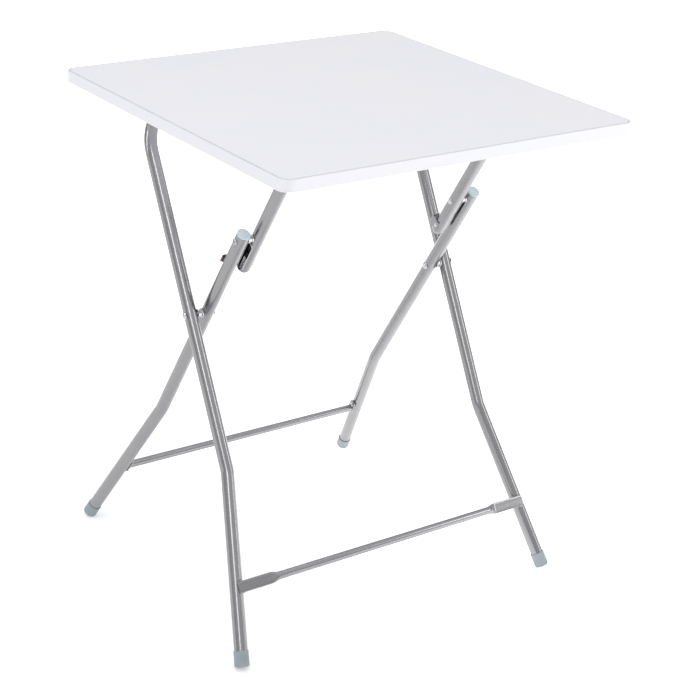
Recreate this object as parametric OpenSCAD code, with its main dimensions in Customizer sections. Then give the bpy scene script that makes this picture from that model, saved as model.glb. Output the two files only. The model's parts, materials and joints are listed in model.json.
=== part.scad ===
// Square folding table: a U-shaped outer frame and a pair of inner legs cross
// like scissors, and a U-shaped support bracket props the far half of the top.
// Millimetres, +Z up. The origin is on the floor, under the middle of the
// table's overall box. X runs across the crossed legs, and the "near" side of
// the table is at -Y.

/* [Tabletop] */
// Length of the top along X
top_len = 600; // [500:5:720]
// Width of the top along Y
top_wid = 600; // [590:5:720]
// Thickness of the top
top_thick = 17; // [14:1:24]
// Radius of the top's corners in plan
top_corner_r = 18; // [8:1:50]
// Thickness of the edge band
band_thick = 4; // [2:0.5:6]
// Rounding of the edge band's two outer edges
band_round = 3; // [0.5:0.5:4]
// Height of the top surface above the floor
table_height = 769; // [710:1:810]
// Distance along X from the leg crossing to the middle of the top
top_offset = 28.5; // [10:0.5:40]

/* [Tubes] */
// Outside diameter of the leg tubes
tube_d = 20; // [16:0.5:24]
// Wall thickness of the leg tubes
tube_wall = 1.2; // [0.8:0.1:2]
// Outside diameter of the rail tubes
rail_d = 12; // [10:0.5:15]
// Wall thickness of the rail tubes
rail_wall = 1.2; // [0.8:0.1:1.5]

/* [Frames] */
// Half the distance between the outer legs, where they are parallel
outer_half = 236; // [225:1:245]
// Distance from one frame's tubes to the next frame's, centre to centre
frame_pitch = 29; // [26:0.5:32]
// Lean of the outer legs from the vertical
lean_outer = 28.3; // [25:0.1:31]
// Lean of the inner legs from the vertical
lean_inner = 31.7; // [29:0.1:34]
// Height of the crossing pins above the floor
cross_height = 457.5; // [440:0.5:475]
// Outward splay of the lower legs
splay = 10.2; // [6:0.1:11]
// Height at which the outer legs begin to splay
outer_splay_height = 250; // [225:1:275]
// Height at which the inner legs begin to splay
inner_splay_height = 246; // [225:1:275]
// Length of the bend where a leg begins to splay
splay_bend_len = 10.6; // [7:0.1:14]
// Bend radius at the corners of the outer frame
outer_corner_r = 76; // [60:1:85]
// Bend radius at the corners of the support bracket
bracket_corner_r = 70; // [50:1:75]
// Height of the outer rail, measured at the leg's axis
outer_rail_height = 103.5; // [85:0.5:135]
// Height of the inner rail, measured at the leg's axis
inner_rail_height = 113.5; // [95:0.5:145]

/* [Knee joints] */
// Length of inner leg that stands past the knee pin, cap included
leg_past_knee = 15; // [13:0.5:20]
// Length of bracket arm that runs down past the knee pin
tail_len = 75; // [68:1:82]
// Distance of the stop plate's back from the tube axis
stop_reach = 15.5; // [14.5:0.5:20]

/* [Hinges and feet] */
// Gap between the crossbars and the underside of the top
hinge_drop = 2; // [2:0.5:6]
// Distance of the outer frame's saddles from the middle
outer_saddle_y = 115; // [90:1:125]
// Distance of the bracket's saddles from the middle
bracket_saddle_y = 80; // [60:1:88]
// How much wider a foot cap is than the leg
foot_grow = 2.2; // [1.8:0.1:5]
// Length of a foot cap along the leg
foot_len = 23.5; // [18:0.5:34]
// Rounding of a foot cap's bottom edge
foot_round = 2.5; // [1.5:0.5:5]

/* [Hidden] */
$fn = 64;

steel = "#a3a5a8";
bright = "#c6c8ca";
cap_grey = "#a4b2b9";
white = "#eef0f3";

tube_r = tube_d / 2;
bore_r = tube_r - tube_wall;
rail_r = rail_d / 2;
foot_r = tube_r + foot_grow / 2;

// Each frame's own plane, outermost first
inner_half = outer_half - frame_pitch;
bracket_half = inner_half - frame_pitch;

// Heights and lengths of the linkage, all in the plane of the fold
hinge_axis_drop = tube_r + hinge_drop;
hinge_height = table_height - top_thick - hinge_axis_drop;
hinge_rise = hinge_height - cross_height;
outer_upper = hinge_rise / cos(lean_outer);
inner_upper = hinge_rise / cos(lean_inner);
hinge_span = hinge_rise * (tan(lean_outer) + tan(lean_inner));
// The knee is placed so that the four links can lie flat on one another
bracket_len = (inner_upper + hinge_span - outer_upper) / 2;
knee_dist = inner_upper - bracket_len;

// Distances down a leg from the crossing pin to the splay and to the rail
outer_splay_down = (cross_height - outer_splay_height) / cos(lean_outer);
inner_splay_down = (cross_height - inner_splay_height) / cos(lean_inner);
outer_rail_down = (cross_height - outer_rail_height) / cos(lean_outer);
inner_rail_down = (cross_height - inner_rail_height) / cos(lean_inner);
// A tilted cap stands on the rounded edge of its bottom, and its axis ends this high
function foot_rise(lean) = foot_round
    + (foot_r - foot_round) * sqrt(1 - pow(cos(lean) * cos(splay), 2));
outer_foot_down = (cross_height - foot_rise(lean_outer)) / cos(lean_outer);
inner_foot_down = (cross_height - foot_rise(lean_inner)) / cos(lean_inner);

// The overall box along X, from which the origin is placed
function foot_reach(lean) = foot_round
    + (foot_r - foot_round) * sqrt(1 - pow(sin(lean) * cos(splay), 2));
box_left = min(top_offset - top_len / 2,
    -inner_foot_down * sin(lean_inner) - foot_reach(lean_inner));
box_right = max(top_offset + top_len / 2,
    outer_foot_down * sin(lean_outer) + foot_reach(lean_outer));
box_mid = (box_left + box_right) / 2;

// Fits: clearance on radius for a hinge, and the gap between bodies that pass
hinge_fit = 0.08;
pass_gap = 0.3;
plug_fit = 0.05;

// How far a straight runs into a bend, and how much thicker the bend is on radius
bend_lap = 1;
bend_swell = 0.04;

// Crossbar joints: a spigot of the crossbar slides into each leg's bore
leg_return = 25;
spigot_len = 22;
spigot_r = bore_r - plug_fit;

// Pins and rivets
cross_shank_r = 3.5;
cross_head_r = 6;
cross_head_h = 2.6;
cross_washer_r = 7;
knee_shank_r = 3;
knee_head_r = 5;
knee_head_h = 2.2;
knee_spacer_r = 6;
knee_hollow_r = 1.8;
knee_hollow_depth = 8;
rail_rivet_r = 2.2;
rail_head_r = 4;
rail_head_h = 2;
weld_r = 2;
weld_len = 9;
stop_rivet_r = 2;
stop_head_r = 3.6;

// Rails: flattened ends of the outer rail, and end tabs of the inner rail
flat_thick = 3;
flat_width = 17.5;
flat_len = 56;
flat_taper = 15;
flat_past_leg = 2.5;
flat_corner_r = 4;
tab_width = 14;
tab_len = 32;
tab_rivet_up = 12.5;

// Legs' caps
cap_thick = 2.5;
cap_plug_len = 8;

// Stop plate, its pad and its rivet, down the arm from the knee pin
plate_thick = 1.5;
plate_top = 48;
plate_len = 14;
flange_past_axis = 4;
pad_inset = 2;
pad_reach = 6;
plate_mid = plate_top + plate_len / 2;

// Window in the bracket arm's tail, and the spring in it
window_top = 11;
window_end = 7;
window_width = 12.5;
spring_r = 4;
spring_len = 24;
spring_turns = 8;

// Hinge saddles and their screws
saddle_len = 26;
saddle_wall = 3.5;
saddle_flange = 28;
saddle_flange_thick = 3.5;
saddle_screw_x = 21;
screw_r = 1.8;
screw_head_r = 3.8;
screw_head_h = 2.2;
screw_bite = 11;

// ---- placing -------------------------------------------------------------

// From the crossing pin's axis at X = 0 to the part's own origin
module on_floor() {
    translate([-box_mid, 0, 0]) children();
}

// Leg frames: origin on the crossing pin's axis, +Z up along the leg
module outer_frame() {
    on_floor() translate([0, 0, cross_height]) rotate([0, -lean_outer, 0]) children();
}

module inner_frame() {
    on_floor() translate([0, 0, cross_height]) rotate([0, lean_inner, 0]) children();
}

// Bracket frame: origin on the knee pin's axis, +Z up along the arm
module bracket_frame() {
    inner_frame() translate([0, 0, knee_dist]) children();
}

// The two hinge axes under the top, from the crossing pin
module outer_hinge_frame() {
    on_floor() translate([-hinge_rise * tan(lean_outer), 0, hinge_height]) children();
}

module bracket_hinge_frame() {
    on_floor() translate([hinge_rise * tan(lean_inner), 0, hinge_height]) children();
}

// Children are drawn for the near side (-Y); side = 1 turns them to the far side
module sided(side) {
    if (side > 0) mirror([0, 1, 0]) children();
    else children();
}

// Frame on the splayed part of a near leg, a distance down from the crossing
module on_lower_leg(half, splay_down, down) {
    translate([0, -half - (down - splay_down) * tan(splay), -down])
        rotate([-splay, 0, 0]) children();
}

// ---- shapes --------------------------------------------------------------

// Frame at the end of a bend that starts along +Z and turns towards -X
module past_bend(bend_r, angle) {
    translate([-bend_r * (1 - cos(angle)), 0, bend_r * sin(angle)])
        rotate([0, -angle, 0]) children();
}

// Elbow cut from a whole ring by the planes of its two ends
module elbow(r, bend_r, angle) {
    reach = 2 * (bend_r + r);
    intersection() {
        translate([-bend_r, 0, 0]) rotate([90, 0, 0])
            rotate_extrude($fn = 96) translate([bend_r, 0]) circle(r);
        translate([-reach, -reach, 0]) cube([2 * reach, 2 * reach, reach]);
        past_bend(bend_r, angle)
            translate([-reach, -reach, -reach]) cube([2 * reach, 2 * reach, reach]);
    }
}

// Round bar along a path of steps [length, bend angle, bend radius, roll]. A bend
// is a hair thicker than the bar, so that a straight's end is buried inside it
module bar_run(steps, r, i = 0) {
    step = steps[i];
    start = i == 0 ? 0 : bend_lap;
    end = step[1] > 0 ? bend_lap : 0;
    translate([0, 0, -start]) cylinder(r = r, h = start + step[0] + end);
    if (step[1] > 0) translate([0, 0, step[0]]) rotate([0, 0, step[3]]) {
        elbow(r + bend_swell, step[2], step[1]);
        past_bend(step[2], step[1]) bar_run(steps, r, i + 1);
    }
}

// The same path as a tube, open at both ends
module tube_run(steps) {
    difference() {
        bar_run(steps, tube_r);
        translate([0, 0, -0.01]) bar_run(steps_longer(steps, 0.01), bore_r);
    }
}

// A path made longer at both ends, so that a bore breaks through cleanly
function steps_longer(steps, extra) = [for (i = [0:len(steps) - 1])
    [steps[i][0] + (i == 0 ? extra : 0) + (i == len(steps) - 1 ? extra : 0),
     steps[i][1], steps[i][2], steps[i][3]]];

// Pin along +Y from y1 to y2
module pin_y(r, y1, y2) {
    translate([0, y2, 0]) rotate([90, 0, 0]) cylinder(r = r, h = y2 - y1);
}

// Domed rivet head that stands on the XZ plane and rises towards -Y
module rivet_head(r, h) {
    ball = (r * r + h * h) / (2 * h);
    rotate([90, 0, 0]) rotate_extrude() intersection() {
        translate([0, h - ball]) circle(ball, $fn = 96);
        square([r, h]);
    }
}

module rounded_rect(len, wid, r) {
    for (x = [-1, 1], y = [-1, 1])
        translate([x * (len / 2 - r), y * (wid / 2 - r)]) circle(r);
    square([len - 2 * r, wid], center = true);
    square([len, wid - 2 * r], center = true);
}

// ---- tabletop ------------------------------------------------------------

module at_saddle_screws() {
    for (side = [-1, 1], x = [-1, 1]) {
        outer_hinge_frame() translate([x * saddle_screw_x, side * outer_saddle_y, 0])
            children();
        bracket_hinge_frame() translate([x * saddle_screw_x, side * bracket_saddle_y, 0])
            children();
    }
}

module tabletop_board() {
    color(white) difference() {
        on_floor() translate([top_offset, 0, table_height - top_thick])
            linear_extrude(top_thick)
                rounded_rect(top_len - 2 * band_thick, top_wid - 2 * band_thick,
                    top_corner_r - band_thick);
        at_saddle_screws() cylinder(r = screw_r, h = hinge_axis_drop + screw_bite);
    }
}

// Cross-section of the edge band, from the board's edge outwards
module band_profile() {
    square([band_thick - band_round, top_thick]);
    translate([0, band_round]) square([band_thick, top_thick - 2 * band_round]);
    for (z = [band_round, top_thick - band_round]) intersection() {
        translate([band_thick - band_round, z]) circle(band_round);
        square([band_thick, top_thick]);
    }
}

module band_side(length) {
    rotate([90, 0, 0]) linear_extrude(length, center = true) band_profile();
}

module tabletop_edge() {
    half_x = top_len / 2 - top_corner_r;
    half_y = top_wid / 2 - top_corner_r;
    inner_r = top_corner_r - band_thick;
    color(white) on_floor() translate([top_offset, 0, table_height - top_thick]) {
        for (turn = [0, 180]) rotate([0, 0, turn]) {
            translate([half_x + inner_r, 0, 0]) band_side(2 * half_y);
            translate([0, half_y + inner_r, 0]) rotate([0, 0, 90]) band_side(2 * half_x);
            translate([half_x, half_y, 0])
                rotate_extrude(angle = 90) translate([inner_r, 0]) band_profile();
            translate([-half_x, half_y, 0]) rotate([0, 0, 90])
                rotate_extrude(angle = 90) translate([inner_r, 0]) band_profile();
        }
    }
}

// Moulded saddle that a crossbar turns in, screwed under the top
module saddle(y) {
    wrap_r = tube_r + saddle_wall;
    color(cap_grey) translate([0, y, 0]) difference() {
        rotate([90, 0, 0]) linear_extrude(saddle_len, center = true) difference() {
            union() {
                intersection() {
                    circle(wrap_r);
                    translate([-wrap_r, -wrap_r]) square([2 * wrap_r, wrap_r]);
                }
                translate([-wrap_r, 0]) square([2 * wrap_r, hinge_axis_drop]);
                translate([-saddle_flange, hinge_axis_drop - saddle_flange_thick])
                    square([2 * saddle_flange, saddle_flange_thick]);
            }
            circle(tube_r + hinge_fit, $fn = 96);
        }
        for (x = [-1, 1]) translate([x * saddle_screw_x, 0, 0])
            cylinder(r = screw_r, h = 2 * hinge_axis_drop);
    }
}

module saddle_screws() {
    head_z = hinge_axis_drop - saddle_flange_thick;
    color(bright) at_saddle_screws() {
        translate([0, 0, head_z]) cylinder(r = screw_r, h = saddle_flange_thick + screw_bite);
        translate([0, 0, head_z]) rotate([90, 0, 0]) rivet_head(screw_head_r, screw_head_h);
    }
}

// ---- outer frame ---------------------------------------------------------

// Radius of a splay's bend, and the distance from its vertex to where it starts
splay_bend_r = splay_bend_len / sin(splay);
splay_tangent = splay_bend_r * tan(splay / 2);

outer_leg_steps = [
    [leg_return, 90, outer_corner_r, 90],
    [outer_upper - outer_corner_r + outer_splay_down - splay_tangent, splay,
        splay_bend_r, 180],
    [(outer_foot_down - outer_splay_down) / cos(splay) - splay_tangent, 0, 0, 0]
];

module outer_leg(side) {
    color(steel) outer_frame() sided(side) difference() {
        translate([0, -(outer_half - outer_corner_r - leg_return), outer_upper])
            rotate([90, 0, 0]) tube_run(outer_leg_steps);
        pin_y(cross_shank_r, -outer_half - 2 * tube_r, -outer_half + 2 * tube_r);
    }
}

// A tube with a spigot at each end, along Y
module crossbar(half, corner_r) {
    reach = half - corner_r - leg_return;
    rotate([90, 0, 0]) difference() {
        union() {
            cylinder(r = tube_r, h = 2 * reach, center = true);
            cylinder(r = spigot_r, h = 2 * (reach + spigot_len), center = true);
        }
        cylinder(r = spigot_r - tube_wall, h = 2 * (reach + spigot_len) + 1, center = true);
    }
}

module outer_crossbar() {
    color(steel) outer_hinge_frame() crossbar(outer_half, outer_corner_r);
}

// Frame where the outer rail crosses the near leg's axis, with +Z out of its front
module outer_rail_joint() {
    y = outer_half + (outer_rail_down - outer_splay_down) * tan(splay);
    translate([0, -y, -outer_rail_down]) rotate([0, 90, 0]) children();
}

// Rail whose tube is pressed flat at both ends, lying on the legs' front faces
module outer_rail() {
    leg_y = outer_half + (outer_rail_down - outer_splay_down) * tan(splay);
    end_y = leg_y + flat_past_leg;
    round_y = end_y - flat_len - flat_taper;
    color(steel) outer_frame()
        translate([tube_r + flat_thick / 2, 0, -outer_rail_down]) {
            difference() {
                pin_y(rail_r, -round_y, round_y);
                pin_y(rail_r - rail_wall, -round_y, round_y);
            }
            for (side = [-1, 1]) sided(side) {
                translate([-flat_thick / 2, -end_y + flat_len / 2, 0])
                    rotate([0, 90, 0]) linear_extrude(flat_thick)
                        rounded_rect(flat_width, flat_len, flat_corner_r);
                hull() {
                    translate([-flat_thick / 2, -end_y + flat_len - flat_corner_r,
                        -flat_width / 2]) cube([flat_thick, flat_corner_r, flat_width]);
                    translate([0, -round_y, 0]) pin_y(rail_r, 0, 0.1);
                }
            }
        }
}

// Weld beads that run along the rail's edges where they cross the legs
module outer_rail_welds() {
    color(steel) outer_frame() for (side = [-1, 1], edge = [-1, 1])
        sided(side) outer_rail_joint() difference() {
            translate([edge * flat_width / 2, 0, tube_r])
                pin_y(weld_r, flat_past_leg - weld_len, flat_past_leg - flat_corner_r / 2);
            translate([-flat_width / 2, -2 * weld_len, tube_r])
                cube([flat_width, 4 * weld_len, flat_thick]);
            rotate([0, -90, 0]) rotate([-splay, 0, 0])
                cylinder(r = tube_r, h = 6 * tube_r, center = true);
        }
}

// Cap over a leg's end, with a rounded edge that stands on the floor
module foot_cap() {
    flat_r = foot_r - foot_round;
    color(cap_grey) difference() {
        rotate_extrude() {
            translate([0, -foot_round]) square([flat_r, foot_len]);
            square([foot_r, foot_len - foot_round]);
            translate([flat_r, 0]) circle(foot_round);
        }
        cylinder(r = tube_r + plug_fit, h = foot_len);
    }
}

module outer_foot(side) {
    outer_frame() sided(side)
        on_lower_leg(outer_half, outer_splay_down, outer_foot_down) foot_cap();
}

// Rivet through the outer leg, a washer, and the inner leg that turns on it
module cross_pin(side) {
    outer_face = outer_half + tube_r;
    inner_face = inner_half - tube_r;
    color(bright) outer_frame() sided(side) {
        pin_y(cross_shank_r, -outer_face, -inner_face + hinge_fit);
        translate([0, -outer_face, 0]) rivet_head(cross_head_r, cross_head_h);
        pin_y(cross_washer_r, -outer_half + tube_r, -inner_half - tube_r - hinge_fit);
        translate([0, -inner_face + hinge_fit, 0]) rotate([0, 0, 180])
            rivet_head(cross_head_r, cross_head_h);
    }
}

// ---- inner legs ----------------------------------------------------------

leg_top = knee_dist + leg_past_knee - cap_thick;
inner_leg_steps = [
    [leg_top + inner_splay_down - splay_tangent, splay, splay_bend_r, -90],
    [(inner_foot_down - inner_splay_down) / cos(splay) - splay_tangent, 0, 0, 0]
];

// Frame on the near inner leg's rail joint, with +Z up along the leg
module inner_rail_joint() {
    on_lower_leg(inner_half, inner_splay_down, inner_rail_down) children();
}

module inner_leg(side) {
    color(steel) inner_frame() sided(side) difference() {
        translate([0, -inner_half, leg_top]) rotate([180, 0, 0]) tube_run(inner_leg_steps);
        pin_y(cross_shank_r + hinge_fit, -inner_half - 2 * tube_r, -inner_half + 2 * tube_r);
        translate([0, 0, knee_dist])
            pin_y(knee_shank_r, -inner_half - 2 * tube_r, -inner_half + 2 * tube_r);
        inner_rail_joint() translate([0, 0, tab_rivet_up]) pin_y(rail_rivet_r, 0, 2 * tube_r);
    }
}

// Rail between the inner legs, with a tab at each end that lies on the leg
module inner_rail() {
    leg_y = inner_half + (inner_rail_down - inner_splay_down) * tan(splay);
    reach = leg_y - tube_r - flat_thick / 2;
    color(steel) inner_frame() difference() {
        union() {
            translate([0, 0, -inner_rail_down]) difference() {
                pin_y(rail_r, -reach, reach);
                pin_y(rail_r - rail_wall, -reach + flat_thick, reach - flat_thick);
            }
            for (side = [-1, 1]) sided(side) inner_rail_joint()
                translate([-tab_width / 2, tube_r, -tab_len / 3])
                    cube([tab_width, flat_thick, tab_len]);
        }
        for (side = [-1, 1]) sided(side) inner_rail_joint()
            translate([0, 0, tab_rivet_up]) pin_y(rail_rivet_r, 0, 2 * tube_r);
    }
}

module inner_rail_rivets() {
    tab_face = tube_r + flat_thick;
    color(bright) inner_frame() for (side = [-1, 1]) sided(side) inner_rail_joint()
        translate([0, 0, tab_rivet_up]) {
            pin_y(rail_rivet_r, tube_r - 2, tab_face);
            translate([0, tab_face, 0]) rotate([0, 0, 180])
                rivet_head(rail_head_r, rail_head_h);
        }
}

module inner_foot(side) {
    inner_frame() sided(side)
        on_lower_leg(inner_half, inner_splay_down, inner_foot_down) foot_cap();
}

// Plug in the open top of an inner leg
module leg_cap(side) {
    color(cap_grey) inner_frame() sided(side) translate([0, -inner_half, leg_top]) {
        cylinder(r = tube_r, h = cap_thick);
        translate([0, 0, -cap_plug_len]) cylinder(r = bore_r - plug_fit, h = cap_plug_len);
    }
}

// The leg's half of the knee pin: a hollow head and shank, and the spacer beside the arm
module knee_pin(side) {
    color(bright) bracket_frame() sided(side) {
        difference() {
            union() {
                translate([0, -inner_half - tube_r, 0]) rivet_head(knee_head_r, knee_head_h);
                pin_y(knee_shank_r, -inner_half - tube_r, -inner_half + tube_r);
                pin_y(knee_spacer_r, -inner_half + tube_r, -bracket_half - tube_r - pass_gap);
            }
            pin_y(knee_hollow_r, -inner_half - 2 * tube_r,
                -inner_half - tube_r - knee_head_h + knee_hollow_depth);
        }
    }
}

// ---- support bracket -----------------------------------------------------

arm_steps = [
    [leg_return, 90, bracket_corner_r, 90],
    [bracket_len - bracket_corner_r + tail_len - tube_r, 0, 0, 0]
];

// Slot shape in the XZ plane, cut towards -Y from the arm's axis
module tail_window() {
    top = -window_top - window_width / 2;
    bottom = -tail_len + window_end + window_width / 2;
    translate([0, -bracket_half, 0]) rotate([90, 0, 0]) linear_extrude(2 * tube_r) {
        translate([0, top]) circle(d = window_width);
        translate([0, bottom]) circle(d = window_width);
        translate([-window_width / 2, bottom]) square([window_width, top - bottom]);
    }
}

module bracket_arm(side) {
    color(steel) bracket_frame() sided(side) difference() {
        union() {
            translate([0, -(bracket_half - bracket_corner_r - leg_return), bracket_len])
                rotate([90, 0, 0]) tube_run(arm_steps);
            translate([0, -bracket_half, -tail_len + tube_r]) tail_end();
        }
        pin_y(knee_shank_r, -bracket_half - 2 * tube_r, -bracket_half + 2 * tube_r);
        translate([0, 0, -plate_mid]) pin_y(stop_rivet_r, -bracket_half, -bracket_half + 2 * tube_r);
        tail_window();
    }
}

// Closed round end of the arm's tail
module tail_end() {
    intersection() {
        difference() {
            sphere(r = tube_r);
            sphere(r = bore_r);
        }
        translate([-tube_r, -tube_r, -tube_r]) cube([2 * tube_r, 2 * tube_r, tube_r]);
    }
}

module bracket_crossbar() {
    color(steel) bracket_hinge_frame() crossbar(bracket_half, bracket_corner_r);
}

// The arm's half of the knee pin, headed on the inner side
module knee_stub(side) {
    color(bright) bracket_frame() sided(side) {
        pin_y(knee_shank_r, -bracket_half - tube_r, -bracket_half + tube_r);
        translate([0, -bracket_half + tube_r, 0]) rotate([0, 0, 180])
            rivet_head(knee_head_r, knee_head_h);
    }
}

// Bent plate: a flange on the arm's inner side and a back behind the leg
module stop_plate(side) {
    flange_y = -bracket_half + tube_r;
    outer_y = -inner_half - pad_reach;
    color(bright) bracket_frame() sided(side) translate([0, 0, -plate_top - plate_len])
        difference() {
            union() {
                translate([-stop_reach, flange_y, 0])
                    cube([stop_reach + flange_past_axis, plate_thick, plate_len]);
                translate([-stop_reach, outer_y, 0])
                    cube([plate_thick, flange_y + plate_thick - outer_y, plate_len]);
            }
            translate([0, 0, plate_len / 2])
                pin_y(stop_rivet_r, flange_y - 1, flange_y + 2 * plate_thick);
        }
}

// Pad on the plate's back that meets the inner leg when the table stands open
module stop_pad(side) {
    back_x = -stop_reach + plate_thick;
    color("#5a3a36") bracket_frame() sided(side)
        translate([back_x, -inner_half - pad_reach, -plate_top - plate_len + pad_inset])
            cube([-tube_r - pass_gap - back_x, 2 * pad_reach, plate_len - 2 * pad_inset]);
}

module stop_rivets() {
    flange_face = -bracket_half + tube_r + plate_thick;
    color(bright) bracket_frame() for (side = [-1, 1]) sided(side)
        translate([0, 0, -plate_mid]) {
            pin_y(stop_rivet_r, -bracket_half + tube_r - 2, flange_face);
            translate([0, flange_face, 0]) rotate([0, 0, 180])
                rivet_head(stop_head_r, plate_thick);
        }
}

// Coil spring in the arm's tail, drawn as closed turns on a core
module lock_spring(side) {
    pitch = spring_len / spring_turns;
    wire_r = pitch / 2 - 0.2;
    coil_r = spring_r - wire_r;
    // The lowest coil rests all round on the inside of the tail's closed end
    seat = sqrt(pow(bore_r - wire_r, 2) - coil_r * coil_r);
    color(bright) bracket_frame() sided(side)
        translate([0, -bracket_half, -tail_len + tube_r - seat])
            rotate_extrude() {
                square([coil_r, spring_len - pitch]);
                for (i = [0:spring_turns - 1])
                    translate([coil_r, i * pitch]) circle(wire_r);
            }
}

// ---- nodes ---------------------------------------------------------------

tabletop_board();
tabletop_edge();
outer_hinge_frame() saddle(-outer_saddle_y);  // outer_saddle_near
outer_hinge_frame() saddle(outer_saddle_y);  // outer_saddle_far
bracket_hinge_frame() saddle(-bracket_saddle_y);  // bracket_saddle_near
bracket_hinge_frame() saddle(bracket_saddle_y);  // bracket_saddle_far
saddle_screws();
outer_leg(-1);  // outer_leg_near
outer_leg(1);  // outer_leg_far
outer_crossbar();
outer_rail();
outer_rail_welds();
outer_foot(-1);  // outer_foot_near
outer_foot(1);  // outer_foot_far
cross_pin(-1);  // cross_pin_near
cross_pin(1);  // cross_pin_far
inner_leg(-1);  // inner_leg_near
inner_leg(1);  // inner_leg_far
inner_rail();
inner_rail_rivets();
inner_foot(-1);  // inner_foot_near
inner_foot(1);  // inner_foot_far
leg_cap(-1);  // leg_cap_near
leg_cap(1);  // leg_cap_far
knee_pin(-1);  // knee_pin_near
knee_pin(1);  // knee_pin_far
bracket_arm(-1);  // bracket_arm_near
bracket_arm(1);  // bracket_arm_far
bracket_crossbar();
knee_stub(-1);  // knee_stub_near
knee_stub(1);  // knee_stub_far
stop_plate(-1);  // stop_plate_near
stop_plate(1);  // stop_plate_far
stop_pad(-1);  // stop_pad_near
stop_pad(1);  // stop_pad_far
stop_rivets();
lock_spring(-1);  // lock_spring_near
lock_spring(1);  // lock_spring_far
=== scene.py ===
# %% [markdown]
# # A folding table, from bare frame to finished picture
#
# The table is a white board on two crossed pairs of steel tube legs. A
# U-shaped bracket with a spring in each tail props the far half of the board.
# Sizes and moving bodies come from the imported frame. This lesson dresses each
# piece with finer meshes and finishes, then sets the floor, light and camera.

import json
import math

import bmesh
import bpy
from mathutils import Matrix, Vector


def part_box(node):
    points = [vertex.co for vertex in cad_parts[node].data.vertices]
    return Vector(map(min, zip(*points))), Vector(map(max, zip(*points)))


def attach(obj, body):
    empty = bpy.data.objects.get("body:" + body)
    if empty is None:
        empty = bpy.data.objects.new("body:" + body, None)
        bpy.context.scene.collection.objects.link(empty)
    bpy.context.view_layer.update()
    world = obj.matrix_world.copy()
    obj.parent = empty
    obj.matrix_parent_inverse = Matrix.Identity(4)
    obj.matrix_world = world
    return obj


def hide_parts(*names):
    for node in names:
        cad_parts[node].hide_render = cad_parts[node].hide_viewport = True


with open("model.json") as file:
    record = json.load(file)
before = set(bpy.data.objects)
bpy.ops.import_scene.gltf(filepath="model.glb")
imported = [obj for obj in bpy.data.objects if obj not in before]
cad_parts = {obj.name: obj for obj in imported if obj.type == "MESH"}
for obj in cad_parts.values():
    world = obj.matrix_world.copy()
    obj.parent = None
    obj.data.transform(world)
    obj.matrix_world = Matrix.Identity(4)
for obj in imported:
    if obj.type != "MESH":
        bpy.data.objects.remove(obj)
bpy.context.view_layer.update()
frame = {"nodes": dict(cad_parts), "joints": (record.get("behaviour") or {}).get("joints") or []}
hinge = {j["name"]: Vector(j["pos_m"]) for j in frame["joints"]}

# %% [markdown]
# ## The linkage in numbers
#
# Three hinge axes come with the frame: where the outer legs hang on the board,
# where the legs cross, and where the bracket hangs on the board. The knee lies
# on the inner leg, where the bracket's arm meets it. Every path below is built
# from these points.

# %% Hinge points and tube sizes, in metres
MM = 0.001
TUBE_R = 10 * MM
BORE_R = 8.8 * MM
RAIL_R = 6 * MM
OUTER_Y, INNER_Y, ARM_Y = 236 * MM, 207 * MM, 178 * MM
top_axis, cross_axis, arm_axis = (
    hinge["top_fold"], hinge["leg_fold"], hinge["bracket_fold"]
)
outer_up = (top_axis - cross_axis).normalized()
inner_up = (arm_axis - cross_axis).normalized()
outer_link = (top_axis - cross_axis).length
inner_link = (arm_axis - cross_axis).length
span = (arm_axis - top_axis).length
arm_link = (inner_link + span - outer_link) / 2
knee = cross_axis + inner_up * (inner_link - arm_link)
print("knee at", [round(v, 4) for v in knee], "arm length", round(arm_link, 4))


# %% Points down a leg, and the foot at its end
SPLAY = math.radians(10.2)
SPLAY_BEND = 10.6 * MM / math.sin(SPLAY)
FOOT_R, FOOT_ROUND, FOOT_LEN = 11.1 * MM, 2.5 * MM, 23.5 * MM


def down_leg(up, half, splay_z, z):
    """Point on a near leg's axis at height z; below splay_z the leg runs outwards."""
    down = (cross_axis.z - z) / up.z
    bent = max(0.0, down - (cross_axis.z - splay_z) / up.z)
    return cross_axis - up * down + Vector((0, -half - bent * math.tan(SPLAY), 0))


def foot_height(up):
    tilt = math.sqrt(1 - (up.z * math.cos(SPLAY)) ** 2)
    return FOOT_ROUND + (FOOT_R - FOOT_ROUND) * tilt


def lower_up(up):
    """Unit vector up the splayed part of a near leg."""
    return (up * math.cos(SPLAY) + Vector((0, math.sin(SPLAY), 0))).normalized()


OUTER_SPLAY_Z, INNER_SPLAY_Z = 250 * MM, 246 * MM
outer_foot = down_leg(outer_up, OUTER_Y, OUTER_SPLAY_Z, foot_height(outer_up))
inner_foot = down_leg(inner_up, INNER_Y, INNER_SPLAY_Z, foot_height(inner_up))
print("feet at", [round(v, 4) for v in outer_foot], [round(v, 4) for v in inner_foot])

# %% [markdown]
# ## Finishes
#
# A finish is a small node tree on one Principled shader. Broad noise moves the
# colour a little, fine noise moves the roughness and the bump, and the numbers
# that stay even are typed straight on the shader. Tubes carry two attributes,
# `skin` round the tube and `along` its length, so that drawing lines can follow
# every bend. Other pieces use plain object coordinates.


# %% Small helpers for node trees
def add(tree, kind, settings=None, **links):
    """A node with its settings; links go to inputs by name, as nodes or values."""
    node = tree.nodes.new(kind if "Node" in kind else "GeometryNode" + kind)
    for key, value in (settings or {}).items():
        setattr(node, key, value)
    for label, value in links.items():
        name = label.replace("_", " ")
        socket = [s for s in node.inputs if s.name == name and s.enabled][0]
        if isinstance(value, bpy.types.Node):
            value = value.outputs[0]
        if isinstance(value, bpy.types.NodeSocket):
            tree.links.new(value, socket)
        else:
            socket.default_value = value
    return node


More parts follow.
